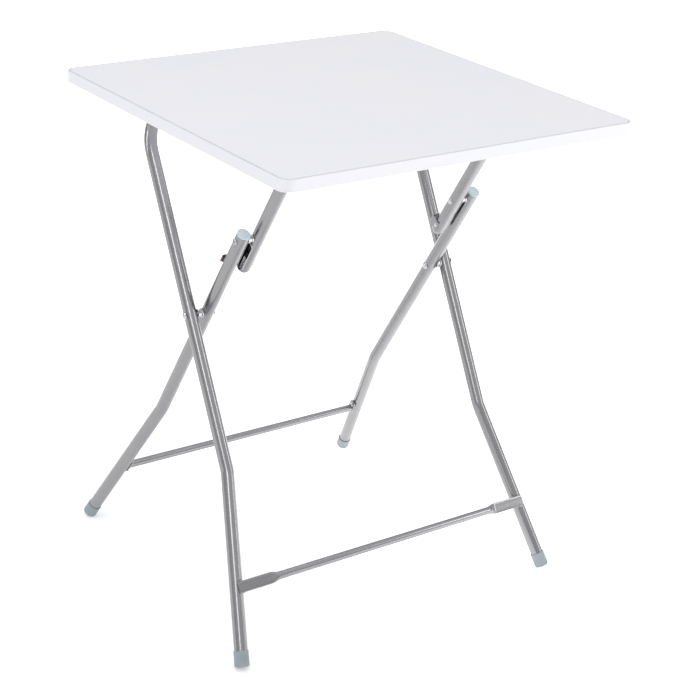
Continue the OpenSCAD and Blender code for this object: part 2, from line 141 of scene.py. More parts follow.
def new_material(name, color, roughness, metallic=0.0, **fixed):
    """A Principled material and its tree; fixed holds even values by socket name."""
    material = bpy.data.materials.new(name)
    material.use_nodes = True
    shader = material.node_tree.nodes["Principled BSDF"]
    fixed.update(Base_Color=(*color, 1), Roughness=roughness, Metallic=metallic)
    for socket, value in fixed.items():
        shader.inputs[socket.replace("_", " ")].default_value = value
    return material, material.node_tree, shader


def noise(tree, vector, scale, detail=3.0, rough=0.5):
    amounts = {"Scale": scale, "Detail": detail, "Roughness": rough}
    return add(tree, "ShaderNodeTexNoise", Vector=vector, **amounts).outputs["Fac"]


def spread(tree, value, low, high, start=0.3, end=0.7):
    """Maps a value between start and end to low and high."""
    ends = {"From_Min": start, "From_Max": end, "To_Min": low, "To_Max": high}
    return add(tree, "ShaderNodeMapRange", Value=value, **ends).outputs["Result"]


def mix_colors(tree, factor, first, second):
    a, b = ((*c, 1) if isinstance(c, tuple) else c for c in (first, second))
    node = add(tree, "ShaderNodeMix", {"data_type": "RGBA"}, Factor=factor, A=a, B=b)
    return [s for s in node.outputs if s.type == "RGBA"][0]


def bump(tree, shader, height, strength, distance):
    node = add(
        tree, "ShaderNodeBump", Strength=strength, Distance=distance, Height=height
    )
    tree.links.new(node.outputs["Normal"], shader.inputs["Normal"])


def object_place(tree, scale=(1, 1, 1), turn=(0, 0, 0)):
    """Object coordinates, turned and stretched."""
    source = add(tree, "ShaderNodeTexCoord").outputs["Object"]
    return add(
        tree, "ShaderNodeMapping", Scale=scale, Rotation=turn, Vector=source
    ).outputs["Vector"]


def edges_of(tree, low=0.53, high=0.60):
    """Near 1 on the outer edges of a mesh, for wear."""
    node = add(tree, "ShaderNodeNewGeometry")
    return spread(tree, node.outputs["Pointiness"], 0, 1, low, high)


# %% [markdown]
# ### Steel tube
#
# The legs are plated steel that was drawn through a die, so the shine breaks
# into very fine lines along the tube. Stretching a noise forty times along
# the tube gives those lines. A slow noise dulls the plating in soft patches,
# where hands have been.


# %% Steel finishes
def tube_place(tree, stretch):
    """Coordinates that follow a tube: round it in x and y, along it in z."""
    skin = add(tree, "ShaderNodeAttribute", {"attribute_name": "skin"})
    along = add(tree, "ShaderNodeAttribute", {"attribute_name": "along"})
    squeeze = add(tree, "ShaderNodeMath", {"operation": "MULTIPLY"})
    squeeze.inputs[1].default_value = stretch
    tree.links.new(along.outputs["Fac"], squeeze.inputs[0])
    lift = add(tree, "ShaderNodeCombineXYZ", Z=squeeze)
    join = add(tree, "ShaderNodeVectorMath")
    tree.links.new(skin.outputs["Vector"], join.inputs[0])
    tree.links.new(lift.outputs["Vector"], join.inputs[1])
    return join.outputs["Vector"]


def steel(name, color, roughness, lines, patches):
    """Plated steel; lines and patches place its fine and its broad noise."""
    material, tree, shader = new_material(name, color, roughness, 1.0)
    fine = noise(tree, lines(tree), 1400, 4, 0.6)
    broad = noise(tree, patches(tree), 26, 3)
    darker = tuple(c * 0.90 for c in color)
    lighter = tuple(min(1, c * 1.07) for c in color)
    tint = mix_colors(tree, spread(tree, broad, 0, 1), darker, color)
    tree.links.new(
        mix_colors(tree, spread(tree, fine, 0, 0.6), tint, lighter),
        shader.inputs["Base Color"],
    )
    total = add(tree, "ShaderNodeMath")
    shine = spread(tree, fine, roughness - 0.03, roughness + 0.04)
    tree.links.new(shine, total.inputs[0])
    tree.links.new(spread(tree, broad, -0.02, 0.05), total.inputs[1])
    tree.links.new(total.outputs[0], shader.inputs["Roughness"])
    bump(tree, shader, fine, 0.12, 0.00004)
    return material


STEEL = (0.33, 0.327, 0.336)
ARM_TURN = (0, -math.atan2(inner_up.x, inner_up.z), 0)
tube_steel = steel(
    "satin_steel_tube",
    STEEL,
    0.21,
    lambda tree: tube_place(tree, 0.025),
    lambda tree: tube_place(tree, 0.4),
)
arm_steel = steel(
    "satin_steel_arm",
    STEEL,
    0.21,
    lambda tree: object_place(tree, (1, 1, 0.03), ARM_TURN),
    object_place,
)
plate_steel = steel(
    "pressed_steel_plate",
    (0.33, 0.33, 0.34),
    0.28,
    lambda tree: object_place(tree, (1, 0.1, 1)),
    object_place,
)
bright_steel = steel(
    "bright_plated_fastener", (0.58, 0.58, 0.60), 0.18, object_place, object_place
)
print("steel finishes ready")

# %% [markdown]
# ### Board, plastic and rubber
#
# The board is white melamine: nearly even, with a faint pebble that softens
# its reflections. The edge band is a darker copy of that white: painted shade
# for the board's side faces. The moulded caps are blue-grey plastic with a
# slightly chalky skin, and their edges have worn paler. The stop pads are dark
# rubber.


# %% Board finish
def laminate(name, color, pebble):
    material, tree, shader = new_material(name, color, 0.42, Specular_IOR_Level=0.45)
    place = object_place(tree)
    broad = noise(tree, place, 7, 4)
    fine = noise(tree, place, pebble, 2)
    cooler = (color[0] * 0.982, color[1] * 0.988, color[2])
    tree.links.new(
        mix_colors(tree, spread(tree, broad, 0, 1), color, cooler),
        shader.inputs["Base Color"],
    )
    tree.links.new(spread(tree, fine, 0.38, 0.48), shader.inputs["Roughness"])
    bump(tree, shader, fine, 0.10, 0.00006)
    return material


board_white = laminate("white_laminate", (0.80, 0.80, 0.825), 900)
# The band's white is darker than the board's: painted shade for the side faces of the top.
shaded_band_white = laminate("white_edge_band_painted_shade", (0.735, 0.735, 0.76), 1600)


# %% Plastic and rubber finishes
def moulded(name, color, roughness, worn):
    """Moulded plastic or rubber with a grained skin and paler worn edges."""
    material, tree, shader = new_material(name, color, roughness)
    place = object_place(tree)
    broad = noise(tree, place, 60, 4)
    fine = noise(tree, place, 2600, 2)
    darker = tuple(c * 0.88 for c in color)
    tint = mix_colors(tree, spread(tree, broad, 0, 1), darker, color)
    tree.links.new(
        mix_colors(tree, edges_of(tree), tint, worn), shader.inputs["Base Color"]
    )
    tree.links.new(
        spread(tree, fine, roughness - 0.06, roughness + 0.08),
        shader.inputs["Roughness"],
    )
    bump(tree, shader, fine, 0.18, 0.00006)
    return material


foot_grey = moulded("blue_grey_foot", (0.285, 0.335, 0.36), 0.5, (0.38, 0.43, 0.45))
cap_grey = moulded("pale_leg_cap", (0.54, 0.62, 0.66), 0.42, (0.64, 0.71, 0.74))
saddle_grey = moulded("saddle_plastic", (0.34, 0.40, 0.43), 0.5, (0.44, 0.50, 0.53))
stop_rubber = moulded("stop_rubber", (0.085, 0.028, 0.024), 0.6, (0.13, 0.06, 0.05))
print("materials:", len(bpy.data.materials))

# %% [markdown]
# ## Making plain pieces
#
# A finished piece is one mesh whose object sits at the origin. The helper
# below shades it smooth but keeps real corners crisp, gives it a finish, and
# says which moving body it rides on and which CAD nodes it stands for. A near
# piece makes its far twin by mirroring.

# %% Register a piece, and make its mirror twin
BRACKET, FASTENER = "support_bracket", "fastener_steel"


def new_object(name, mesh):
    piece = bpy.data.objects.new(name, mesh)
    bpy.context.scene.collection.objects.link(piece)
    return piece


def keep(build, name):
    """Turns a finished bmesh into an object."""
    mesh = bpy.data.meshes.new(name)
    build.to_mesh(mesh)
    build.free()
    return new_object(name, mesh)


def baked(carrier):
    """The carrier's evaluated shape as a plain mesh."""
    bpy.context.view_layer.update()
    graph = bpy.context.evaluated_depsgraph_get()
    return bpy.data.meshes.new_from_object(carrier.evaluated_get(graph))


def circle_points(radius, steps):
    turns = [2 * math.pi * k / steps for k in range(steps)]
    return [(radius * math.cos(t), radius * math.sin(t)) for t in turns]


def dress(piece, material, body, slot, *nodes, corner=35):
    mesh = piece.data
    mesh.shade_smooth()
    mesh.set_sharp_from_angle(angle=math.radians(corner))
    mesh.materials.clear()
    mesh.materials.append(material)
    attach(piece, body)
    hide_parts(*nodes)
    return piece


def far_twin(piece, name):
    """The same piece on the far side, with its faces turned back outwards."""
    mesh = piece.data.copy()
    mesh.transform(Matrix.Scale(-1, 4, (0, 1, 0)))
    mesh.flip_normals()
    return new_object(name, mesh)


def both_sides(make, name, material, body, slot, node):
    """Makes NAME_near and NAME_far, standing for NODE_near and NODE_far."""
    near = make(name + "_near")
    far = far_twin(near, name + "_far")
    dress(near, material, body, slot, node + "_near")
    dress(far, material, body, slot, node + "_far")
    return near, far


# %% [markdown]
# ## Geometry Nodes helpers
#
# Each tree is written once with named inputs. A modifier takes its values by
# the socket's identifier, and the result is then copied out as a plain mesh,
# so that nothing live is left on the piece.


# %% Build a tree, run it, and keep the mesh
def new_tree(name, inputs):
    """A Geometry Nodes tree with the named inputs and one geometry output."""
    tree = bpy.data.node_groups.new(name, "GeometryNodeTree")
    face = tree.interface
    face.new_socket("Geometry", in_out="INPUT", socket_type="NodeSocketGeometry")
    for label, kind in inputs:
        face.new_socket(label, in_out="INPUT", socket_type="NodeSocket" + kind)
    face.new_socket("Geometry", in_out="OUTPUT", socket_type="NodeSocketGeometry")
    start = tree.nodes.new("NodeGroupInput")
    end = tree.nodes.new("NodeGroupOutput")
    return tree, start.outputs, end


def close_tree(tree, geometry, end):
    real = add(tree, "RealizeInstances", Geometry=geometry)
    tree.links.new(real.outputs[0], end.inputs[0])


def run_tree(name, source, tree, **values):
    """Runs the tree on a source mesh and returns a plain mesh object."""
    carrier = new_object("carrier", source)
    modifier = carrier.modifiers.new("build", "NODES")
    modifier.node_group = tree
    sockets = [s for s in tree.interface.items_tree if s.in_out == "INPUT"]
    ids = {s.name: s.identifier for s in sockets}
    for label, value in values.items():
        modifier[ids[label.replace("_", " ")]] = value
    mesh = baked(carrier)
    carrier.modifiers.remove(modifier)
    bpy.data.objects.remove(carrier)
    mesh.name = name
    return new_object(name, mesh)


def path_mesh(points, bends=None, closed=False):
    """A line or loop of points, with a bend radius at each point."""
    mesh = bpy.data.meshes.new("path")
    count = len(points)
    edges = [(i, (i + 1) % count) for i in range(count if closed else count - 1)]
    mesh.from_pydata(points, edges, [])
    radius = mesh.attributes.new("bend", "FLOAT", "POINT")
    radius.data.foreach_set("value", bends or [0.0] * count)
    return mesh


# %% [markdown]
# ## Bent tubes
#
# A leg is one straight tube bent on a former, so its shape follows a rule: a
# line of corner points, each rounded by its own bend radius, with a circle
# swept along it. The tree fillets the line and sweeps the circle, and it
# stores how far along the tube and where round it each point lies, which the
# steel finish reads.

# %% The bent tube tree
tube_tree, tube_in, tube_out = new_tree(
    "Bent tube", [("Outside Radius", "Float"), ("Sides", "Int"), ("Bend Steps", "Int")]
)
line = add(tube_tree, "MeshToCurve", Mesh=tube_in["Geometry"])
radius_field = add(
    tube_tree, "InputNamedAttribute", {"data_type": "FLOAT"}, Name="bend"
)
fillet = add(
    tube_tree,
    "FilletCurve",
    {"mode": "POLY"},
    Curve=line,
    Count=tube_in["Bend Steps"],
    Radius=radius_field.outputs["Attribute"],
)
run_length = add(tube_tree, "SplineParameter")
marked = add(
    tube_tree,
    "StoreNamedAttribute",
    {"data_type": "FLOAT", "domain": "POINT"},
    Geometry=fillet,
    Name="along",
    Value=run_length.outputs["Length"],
)
ring = add(
    tube_tree,
    "CurvePrimitiveCircle",
    Resolution=tube_in["Sides"],
    Radius=tube_in["Outside Radius"],
)
ring_place = add(tube_tree, "InputPosition")
ring_marked = add(
    tube_tree,
    "StoreNamedAttribute",
    {"data_type": "FLOAT_VECTOR", "domain": "POINT"},
    Geometry=ring,
    Name="skin",
    Value=ring_place,
)
swept = add(
    tube_tree, "CurveToMesh", Curve=marked, Profile_Curve=ring_marked, Fill_Caps=True
)
close_tree(tube_tree, swept, tube_out)


def bent_tube(name, points, bends, radius=TUBE_R, sides=48):
    return run_tree(
        name,
        path_mesh(points, bends),
        tube_tree,
        Outside_Radius=radius,
        Sides=sides,
        Bend_Steps=14,
    )


# %% Outer legs: out of the crossbar, down past the crossing, out to the foot
OUTER_BEND, ARM_BEND, RETURN = 76 * MM, 70 * MM, 25 * MM
outer_start = OUTER_Y - OUTER_BEND - RETURN


def press_bend(mesh, corner, depth=1.4 * MM):
    """Leaves the inside of the corner a little flat, with a lip just below it."""
    centre = corner + Vector((0, OUTER_BEND, 0)) - outer_up * OUTER_BEND
    for vertex in mesh.vertices:
        offset = vertex.co - centre
        rise, out = offset.dot(outer_up), -offset.y
        if rise < -12 * MM or out < 0:
            continue
        reach = math.hypot(max(rise, 0), out)
        share = min(1, max(0, (rise + 9 * MM) / (4 * MM))) * min(1, out / (12 * MM))
        inside = OUTER_BEND - reach
        push = max(0, inside - (TUBE_R - depth * share))
        lip = 0.5 * MM * math.exp(-(((rise + 10 * MM) / (2 * MM)) ** 2))
        push -= lip * max(0, inside / TUBE_R) ** 2
        away = Vector((0, -out, 0)) + outer_up * max(rise, 0)
        vertex.co += away.normalized() * push


def outer_leg(name):
    corner = top_axis + Vector((0, -OUTER_Y, 0))
    lip_rings = [corner - outer_up * (OUTER_BEND + k * MM) for k in range(2, 15, 2)]
    points = [
        top_axis + Vector((0, -outer_start, 0)),
        corner,
        *lip_rings,
        down_leg(outer_up, OUTER_Y, OUTER_SPLAY_Z, OUTER_SPLAY_Z),
        outer_foot,
    ]
    bends = [0, OUTER_BEND] + [0] * len(lip_rings) + [SPLAY_BEND, 0]
    piece = bent_tube(name, points, bends)
    press_bend(piece.data, corner)
    return piece


both_sides(outer_leg, "outer_tube", tube_steel, "outer_frame", "leg_steel", "outer_leg")

# %% Inner legs: from the cap past the knee, down to the foot
CAP_THICK, PAST_KNEE = 2.5 * MM, 15 * MM
inner_top = knee + inner_up * (PAST_KNEE - CAP_THICK) + Vector((0, -INNER_Y, 0))


def inner_leg(name):
    points = [
        inner_top, down_leg(inner_up, INNER_Y, INNER_SPLAY_Z, INNER_SPLAY_Z), inner_foot
    ]
    return bent_tube(name, points, [0, SPLAY_BEND, 0])


both_sides(inner_leg, "inner_tube", tube_steel, "inner_legs", "leg_steel", "inner_leg")

# %% Crossbars: the straight tubes that turn in the saddles
for name, axis, reach, body in (
    ("outer_crossbar", top_axis, outer_start, "outer_frame"),
    ("bracket_crossbar", arm_axis, ARM_Y - ARM_BEND - RETURN, BRACKET),
):
    ends = [axis + Vector((0, side * (reach - 0.2 * MM), 0)) for side in (-1, 1)]
    bar = bent_tube(name + "_tube", ends, [0, 0])
    dress(bar, tube_steel, body, "leg_steel", name)

# %% [markdown]
# ## Turned pieces
#
# Feet, caps, pins and rivet heads are all round about one axis, so one helper
# spins a half outline into a closed solid. The outline is a list of radius and
# height; round corners in it are made by a second small helper.


# %% Spin an outline, and round its corners
def rounded(points, radii, steps=5):
    """An outline whose corners are cut by short arcs of the given radii."""
    out = []
    for i, (point, radius) in enumerate(zip(points, radii)):
        if not radius:
            out.append(point)
            continue
        here = Vector(point)
        back = (Vector(points[i - 1]) - here).normalized()
        ahead = (Vector(points[(i + 1) % len(points)]) - here).normalized()
        half = back.angle(ahead) / 2
        middle = here + (back + ahead).normalized() * radius / math.sin(half)
        first = here + back * radius / math.tan(half) - middle
        last = here + ahead * radius / math.tan(half) - middle
        for step in range(steps + 1):
            arm = first.lerp(last, step / steps).normalized() * radius
            out.append(tuple(middle + arm))
    return out


def axis_frame(origin, axis):
    """A frame whose +Z runs along axis."""
    turn = Vector((0, 0, 1)).rotation_difference(Vector(axis)).to_matrix().to_4x4()
    return Matrix.Translation(origin) @ turn


def turned(name, outline, origin, axis, steps=56):
    """Closed solid of revolution; the outline starts and ends on the axis."""
    build = bmesh.new()
    rows = []
    for radius, height in outline:
        if radius < 1e-7:
            rows.append([build.verts.new((0, 0, height))])
            continue
        ring = circle_points(radius, steps)
        rows.append([build.verts.new((x, y, height)) for x, y in ring])
    for low, high in zip(rows, rows[1:]):
        for k in range(steps):
            corners = [low[k % len(low)], low[(k + 1) % len(low)]]
            corners += [high[(k + 1) % len(high)], high[k % len(high)]]
            unique = list(dict.fromkeys(corners))
            if len(unique) > 2:
                build.faces.new(unique)
    bmesh.ops.recalc_face_normals(build, faces=build.faces)
    build.transform(axis_frame(origin, axis))
    return keep(build, name)


# %% Feet: push-on caps with a square shoulder and a rounded bottom edge
def foot_outline():
    low, high, wall = -FOOT_ROUND, FOOT_LEN - FOOT_ROUND, TUBE_R + 0.05 * MM
    points = [
        (0, low),
        (FOOT_R, low),
        (FOOT_R - 0.15 * MM, high - 2.2 * MM),
        (FOOT_R, high - 1.9 * MM),
        (FOOT_R, high),
        (wall, high),
        (wall, high - 2 * MM),
        (0, high - 2 * MM),
    ]
    return rounded(points, [0, FOOT_ROUND, 0, 0, 0.5 * MM, 0.2 * MM, 0, 0])


for name, place, up, body in (
    ("outer_foot", outer_foot, outer_up, "outer_frame"),
    ("inner_foot", inner_foot, inner_up, "inner_legs"),
):
    both_sides(
        lambda n: turned(n, foot_outline(), place, lower_up(up)),
        name + "_cap",
        foot_grey,
        body,
        "cap_plastic",
        name,
    )

# %% Leg caps: a plug with a domed lid that sits in the open top of the tube
lid = [
    (0, -8 * MM),
    (BORE_R - 0.3 * MM, -8 * MM),
    (BORE_R - 0.05 * MM, 0),
    (TUBE_R, 0),
    (TUBE_R, 1.9 * MM),
    (TUBE_R - 0.8 * MM, CAP_THICK),
    (5 * MM, CAP_THICK + 0.35 * MM),
    (0, CAP_THICK + 0.45 * MM),
]
lid_round = [0, 0.8 * MM, 0, 0.15 * MM, 0.5 * MM, 0.5 * MM, 0, 0]
both_sides(
    lambda n: turned(n, rounded(lid, lid_round), inner_top, inner_up),
    "leg_lid",
    cap_grey,
    "inner_legs",
    "end_cap_plastic",
    "leg_cap",
)

# %% [markdown]
# ### Pins
#
# At the crossing a long rivet runs through both tubes, with two washers and a
# sleeve in the gap. At the knee the rivet is hollow, so its head shows a dark
# hole. An outline is written along the pin, from its outer head inwards.


# %% Crossing pins
def domed(radius, height, base, sign, steps=8):
    """Points of a dome from its rim to its top, with its top on the axis."""
    ball = (radius**2 + height**2) / (2 * height)
    spread_angle = math.asin(radius / ball)
    angles = [spread_angle * (1 - k / steps) for k in range(steps + 1)]
    return [
        (ball * math.sin(a), base + sign * (ball * math.cos(a) - ball + height))
        for a in angles
    ]


def crossing_pin(name):
    outer_face, inner_face = -OUTER_Y - TUBE_R, -INNER_Y + TUBE_R + 0.08 * MM
    gap_low, gap_high = -OUTER_Y + TUBE_R, -INNER_Y - TUBE_R - 0.08 * MM
    shank, sleeve, washer = 3.5 * MM, 5.4 * MM, 7 * MM
    head = domed(6 * MM, 2.6 * MM, outer_face, -1)[::-1]
    middle = [
        (6 * MM, outer_face),
        (shank, outer_face),
        (shank, gap_low),
        (washer, gap_low),
        (washer, gap_low + 1.8 * MM),
        (sleeve, gap_low + 1.8 * MM),
        (sleeve, gap_high - 1.8 * MM),
        (washer, gap_high - 1.8 * MM),
        (washer, gap_high),
        (shank, gap_high),
        (shank, inner_face),
    ]
    small = 0.35 * MM
    middle = rounded(middle, [0, 0, 0, small, small, 0, 0, small, small, 0, 0], 3)
    tail = domed(6 * MM, 2.6 * MM, inner_face, 1)
    return turned(name, head[:-1] + middle + tail, cross_axis, (0, 1, 0))


both_sides(
    crossing_pin, "crossing_rivet", bright_steel, "outer_frame", FASTENER, "cross_pin"
)


# %% Knee pins and the stubs that face them
def knee_rivet(name):
    face, inner = -INNER_Y - TUBE_R, -INNER_Y + TUBE_R
    end = -ARM_Y - TUBE_R - 0.3 * MM
    outline = [
        (0, face + 6 * MM),
        (2.4 * MM, face + 6 * MM),
        (2.4 * MM, face - 1.2 * MM),
        (3.2 * MM, face - 2.2 * MM),
        (4.4 * MM, face - 1.7 * MM),
        (5 * MM, face),
        (3 * MM, face),
        (3 * MM, inner),
        (6 * MM, inner),
        (6 * MM, inner + 2 * MM),
        (5 * MM, inner + 2.3 * MM),
        (5 * MM, end - 2.3 * MM),
        (6 * MM, end - 2 * MM),
        (6 * MM, end),
        (0, end),
    ]
    soft = [0, 0, 0.5, 0.6, 0.8, 0.2, 0, 0, 0.3, 0.3, 0, 0, 0.3, 0.3, 0]
    return turned(name, rounded(outline, [r * MM for r in soft], 4), knee, (0, 1, 0))


def knee_stub(name):
    low, high = -ARM_Y - TUBE_R, -ARM_Y + TUBE_R
    start = [(0, low), (3 * MM, low), (3 * MM, high), (5 * MM, high)]
    return turned(name, start + domed(5 * MM, 2.2 * MM, high, 1)[1:], knee, (0, 1, 0))


both_sides(knee_rivet, "knee_rivet", bright_steel, "inner_legs", FASTENER, "knee_pin")
both_sides(knee_stub, "arm_rivet", bright_steel, BRACKET, FASTENER, "knee_stub")

# %% [markdown]
# ## Tabletop
#
# The board is a slab with rounded corners. Round it runs a moulded band that
# is flush above and below, with its two outer edges rolled over, and that soft
# roll catches the light. The band follows the board's outline, so it is swept
# by a tree: a rounded rectangle for the path, and a small rectangle with two
# rounded corners for the section.

# %% Sizes of the top, from the frame's boxes
board_low, board_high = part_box("tabletop_board")
top_low, top_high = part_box("tabletop_edge")
BAND = board_low.x - top_low.x
TOP_CORNER = 18 * MM
top_middle = (top_low + top_high) / 2
top_thick = top_high.z - top_low.z
print("band", round(BAND, 4), "thick", round(top_thick, 4))


# %% Board: a rounded slab with a hair of a bevel at its seam
def slab(name, size, corner, bevel):
    """Slab with round corners about the top's middle; every edge has a small bevel."""
    build = bmesh.new()
    ring = []
    for cx, cy, start in ((1, 1, 0), (-1, 1, 90), (-1, -1, 180), (1, -1, 270)):
        centre = Vector((cx * (size.x / 2 - corner), cy * (size.y / 2 - corner), 0))
        for k in range(11):
            a = math.radians(start + 9 * k)
            arm = Vector((math.cos(a), math.sin(a), 0)) * corner
            ring.append(build.verts.new(centre + arm))
    face = build.faces.new(ring)
    lifted = bmesh.ops.extrude_face_region(build, geom=[face])["geom"]
    moved = [v for v in lifted if isinstance(v, bmesh.types.BMVert)]
    bmesh.ops.translate(build, verts=moved, vec=(0, 0, size.z))
    bmesh.ops.recalc_face_normals(build, faces=build.faces)
    rims = [e for e in build.edges if abs(e.verts[0].co.z - e.verts[1].co.z) < 1e-6]
    bmesh.ops.bevel(build, geom=rims, offset=bevel, segments=2, affect="EDGES")
    bmesh.ops.translate(
        build, verts=build.verts, vec=(top_middle.x, top_middle.y, top_low.z)
    )
    return keep(build, name)


board = slab("top_board", board_high - board_low, TOP_CORNER - BAND, 0.03 * MM)
dress(board, board_white, "tabletop", "board", "tabletop_board", corner=50)

# %% The band tree
band_tree, band_in, band_out = new_tree(
    "Edge band",
    [
        ("Length", "Float"),
        ("Width", "Float"),
        ("Corner", "Float"),
        ("Thickness", "Float"),
        ("Height", "Float"),
        ("Roll", "Float"),
    ],
)
outline = add(
    band_tree,
    "CurvePrimitiveQuadrilateral",
    Width=band_in["Length"],
    Height=band_in["Width"],
)
outline_round = add(
    band_tree,
    "FilletCurve",
    {"mode": "POLY"},
    Curve=outline,
    Count=16,
    Radius=band_in["Corner"],
)
section = add(
    band_tree,
    "CurvePrimitiveQuadrilateral",
    Width=band_in["Thickness"],
    Height=band_in["Height"],
)
where = add(band_tree, "InputPosition")
parts = add(band_tree, "ShaderNodeSeparateXYZ", Vector=where)
outside = add(
    band_tree, "ShaderNodeMath", {"operation": "LESS_THAN"}, Value=parts.outputs["X"]
)
outside.inputs[1].default_value = 0.0
roll = add(band_tree, "ShaderNodeMath", {"operation": "MULTIPLY"}, Value=outside)
band_tree.links.new(band_in["Roll"], roll.inputs[1])
section_round = add(
    band_tree, "FilletCurve", {"mode": "POLY"}, Curve=section, Count=8, Radius=roll
)
swept = add(band_tree, "CurveToMesh", Curve=outline_round, Profile_Curve=section_round)
close_tree(band_tree, swept, band_out)

# %% Sweep the band round the board
band = run_tree(
    "top_band",
    path_mesh([(0, 0, 0), (1, 0, 0)]),
    band_tree,
    Length=top_high.x - top_low.x - BAND,
    Width=top_high.y - top_low.y - BAND,
    Corner=TOP_CORNER - BAND / 2,
    Thickness=BAND,
    Height=top_thick,
    Roll=3 * MM,
)
band.data.transform(Matrix.Translation(top_middle))
print("band spans", [round(v, 4) for v in band.dimensions])
dress(band, shaded_band_white, "tabletop", "edge_band", "tabletop_edge", corner=50)

# %% [markdown]
# ## Rails
#
# The front rail is a thin tube whose two ends are pressed flat and laid on the
# legs. A loft gives that: the section starts round and turns, over a short
# taper, into a wide flat one with a shallow crease, as a press leaves it. The
# rear rail stays round and meets each leg with a small riveted tab.


# %% Frames on the legs
def leg_frame(up, origin):
    """+Z up the leg, +X out of its front in the plane of the fold, +Y across."""
    front = Vector((up.z, 0, -up.x))
    across = Vector((0, 1, 0))
    turn = Matrix((front, across, up)).transposed().to_4x4()
    return Matrix.Translation(origin) @ turn


def mark_tube(mesh, frame_matrix):
    """Gives a mesh the two attributes that the tube finish reads."""
    inverse = frame_matrix.inverted()
    local = [inverse @ v.co for v in mesh.vertices]
    skin = mesh.attributes.new("skin", "FLOAT_VECTOR", "POINT")
    skin.data.foreach_set("vector", [c for p in local for c in (p.x, p.z, 0)])
    along = mesh.attributes.new("along", "FLOAT", "POINT")
    along.data.foreach_set("value", [p.y for p in local])


OUTER_RAIL_Z, INNER_RAIL_Z = 103.5 * MM, 113.5 * MM
FLAT_THICK, FLAT_WIDTH, FLAT_LEN, FLAT_TAPER = (v * MM for v in (3, 17.5, 56, 15))
rail_down = (cross_axis.z - OUTER_RAIL_Z) / outer_up.z
outer_rail_y = -down_leg(outer_up, OUTER_Y, OUTER_SPLAY_Z, OUTER_RAIL_Z).y
rail_frame = leg_frame(outer_up, cross_axis - outer_up * rail_down)
rail_frame = rail_frame @ Matrix.Translation((TUBE_R + FLAT_THICK / 2, 0, 0))


# %% Front rail, lofted through its sections
def section(press, shrink, count=40):
    """One section: press 0 is round and 1 is flat; shrink narrows it at the tip."""
    thick = RAIL_R + (FLAT_THICK / 2 - RAIL_R) * press
    wide = RAIL_R + (FLAT_WIDTH / 2 - RAIL_R) * press - shrink
    power = 1 - 0.62 * press
    points = []
    for k in range(count):
        t = 2 * math.pi * k / count
        x = math.copysign(abs(math.cos(t)) ** power, math.cos(t)) * thick
        z = math.copysign(abs(math.sin(t)) ** power, math.sin(t)) * wide
        dent = math.exp(-(((z / wide - 0.38) / 0.10) ** 2)) * 0.45 * MM * press
        points.append((x - (dent if x > 0 else 0), z))
    return points


def pressed_rail(name):
    end = outer_rail_y + 2.5 * MM
    corner = 4 * MM
    stations = []
    for k in range(5):
        back = corner * k / 4
        cut = corner - math.sqrt(corner**2 - (corner - back) ** 2)
        stations.append((end - back, 1, cut))
    stations.append((end - FLAT_LEN + 1 * MM, 1, 0))
    for k in range(9):
        share = k / 8
        press = 1 - share**2 * (3 - 2 * share)
        stations.append((end - FLAT_LEN - FLAT_TAPER * share, press, 0))
    stations += [(-y, press, cut) for y, press, cut in reversed(stations)]
    build = bmesh.new()
    rows = [
        [build.verts.new((x, y, z)) for x, z in section(press, cut)]
        for y, press, cut in stations
    ]
    for low, high in zip(rows, rows[1:]):
        for k in range(len(low)):
            after = (k + 1) % len(low)
            build.faces.new((low[k], low[after], high[after], high[k]))
    build.faces.new(rows[0])
    build.faces.new(rows[-1])
    bmesh.ops.recalc_face_normals(build, faces=build.faces)
    build.transform(rail_frame)
    piece = keep(build, name)
    mark_tube(piece.data, rail_frame)
    return piece


front_rail = pressed_rail("front_rail")
dress(front_rail, tube_steel, "outer_frame", "rail_steel", "outer_rail", corner=28)


# %% [markdown]
# ### Welds
#
# A weld bead is a row of overlapping drops laid down one after another. The
# tree resamples a short line and sets one drop, a little larger or smaller at
# random, on each point.

# %% The weld bead tree
weld_tree, weld_in, weld_out = new_tree(
    "Weld bead", [("Drops", "Int"), ("Drop Radius", "Float")]
)
line = add(weld_tree, "MeshToCurve", Mesh=weld_in["Geometry"])
steps = add(
    weld_tree, "ResampleCurve", {"mode": "COUNT"}, Curve=line, Count=weld_in["Drops"]
)
drop = add(weld_tree, "MeshIcoSphere", Radius=weld_in["Drop Radius"], Subdivisions=3)
size_noise = add(
    weld_tree,
    "FunctionNodeRandomValue",
    {"data_type": "FLOAT"},
    Min=0.85,
    Max=1.1,
    Seed=4,
)
beads = add(
    weld_tree,
    "InstanceOnPoints",
    Points=steps,
    Instance=drop,
    Scale=size_noise.outputs[1],
)
close_tree(weld_tree, beads, weld_out)

# %% Lay the beads where the front rail's edges cross the legs
weld_lines = bpy.data.meshes.new("weld lines")
weld_points = []
for side in (-1, 1):
    for edge in (-1, 1):
        for inward in (8.0, 1.0):
            y = side * (outer_rail_y + 2.5 * MM - inward * MM)
            place = (-0.9 * MM, y, edge * FLAT_WIDTH / 2)
            weld_points.append(rail_frame @ Vector(place))
weld_lines.from_pydata(weld_points, [(0, 1), (2, 3), (4, 5), (6, 7)], [])
welds = run_tree("rail_welds", weld_lines, weld_tree, Drops=7, Drop_Radius=1.15 * MM)
dress(welds, plate_steel, "outer_frame", "rail_steel", "outer_rail_welds")

# %% [markdown]
# ## Flat parts
#
# Tabs, saddles and the bent stop plates all have one outline all the way
# through. A filled flat curve with a small bevel gives that shape cleanly,
# holes included, and it is turned into a mesh before it is put in place.


